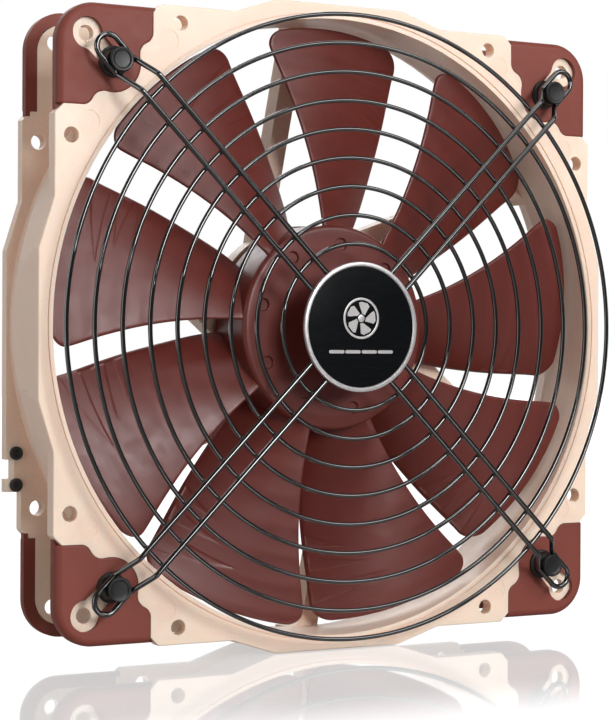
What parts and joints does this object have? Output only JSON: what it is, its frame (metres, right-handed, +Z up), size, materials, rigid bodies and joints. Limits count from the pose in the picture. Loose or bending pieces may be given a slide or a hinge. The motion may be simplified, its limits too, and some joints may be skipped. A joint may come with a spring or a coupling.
{
  "type": "case fan",
  "caption": "Square case fan: swept-blade impeller on a sleeve-bearing motor, ducted frame with soft corner pads, and a round wire finger guard on rubber pull mounts.",
  "frame": {"origin": "centre of the rear mounting face, on the spin axis", "axes": "+Y along the spin axis, out of the exhaust side; intake and guard face -Y; +Z up; +X to the right seen from the intake"},
  "size_m": [0.2, 0.0436, 0.2],
  "materials": {
    "frame_plastic": "satin",
    "pad_rubber": "matte",
    "impeller_plastic": "satin",
    "rotor_steel": "satin",
    "magnet_ferrite": "matte",
    "insert_brass": "machined",
    "shaft_steel": "ground",
    "nylon": "satin",
    "sintered_bronze": "porous",
    "seal_rubber": "matte",
    "core_steel": "laminated",
    "copper": "enamelled",
    "insulator_plastic": "satin",
    "board_laminate": "solder mask",
    "chip_plastic": "matte",
    "capacitor_can": "satin",
    "label_film": "satin",
    "grommet_rubber": "matte",
    "guard_steel": "gloss black",
    "badge_metal": "polished",
    "badge_black": "brushed black",
    "mount_rubber": "matte"
  },
  "bodies": {
    "housing": {"frame": "frame_plastic", "pad_front_tr": "pad_rubber", "pad_front_tl": "pad_rubber", "pad_front_bl": "pad_rubber", "pad_front_br": "pad_rubber", "pad_rear_tr": "pad_rubber", "pad_rear_tl": "pad_rubber", "pad_rear_bl": "pad_rubber", "pad_rear_br": "pad_rubber", "bearing_tube": "insert_brass", "thrust_pad": "nylon", "bearing_bush": "sintered_bronze", "oil_ring": "seal_rubber", "stator_core": "core_steel", "stator_coils": "copper", "insulator_front": "insulator_plastic", "insulator_rear": "insulator_plastic", "circuit_board": "board_laminate", "driver_chip": "chip_plastic", "hall_sensor": "chip_plastic", "filter_capacitor": "capacitor_can", "rear_label": "label_film", "lead_grommets": "grommet_rubber", "guard_ring_1": "guard_steel", "guard_ring_2": "guard_steel", "guard_ring_3": "guard_steel", "guard_ring_4": "guard_steel", "guard_ring_5": "guard_steel", "guard_ring_6": "guard_steel", "guard_ring_7": "guard_steel", "guard_ring_8": "guard_steel", "guard_ring_9": "guard_steel", "guard_arm_tr": "guard_steel", "guard_arm_tl": "guard_steel", "guard_arm_bl": "guard_steel", "guard_arm_br": "guard_steel", "badge_rim": "badge_metal", "badge_face": "badge_black", "guard_mounts": "mount_rubber"},
    "rotor": {"impeller": "impeller_plastic", "rotor_yoke": "rotor_steel", "rotor_magnet": "magnet_ferrite", "shaft_insert": "insert_brass", "shaft": "shaft_steel", "retaining_clip": "nylon"}
  },
  "joints": [
    {"name": "impeller_spin", "type": "hinge", "parent": "housing", "child": "rotor", "pos_m": [0, -0.012, 0], "axis": [0, -1, 0], "continuous": true}
  ]
}
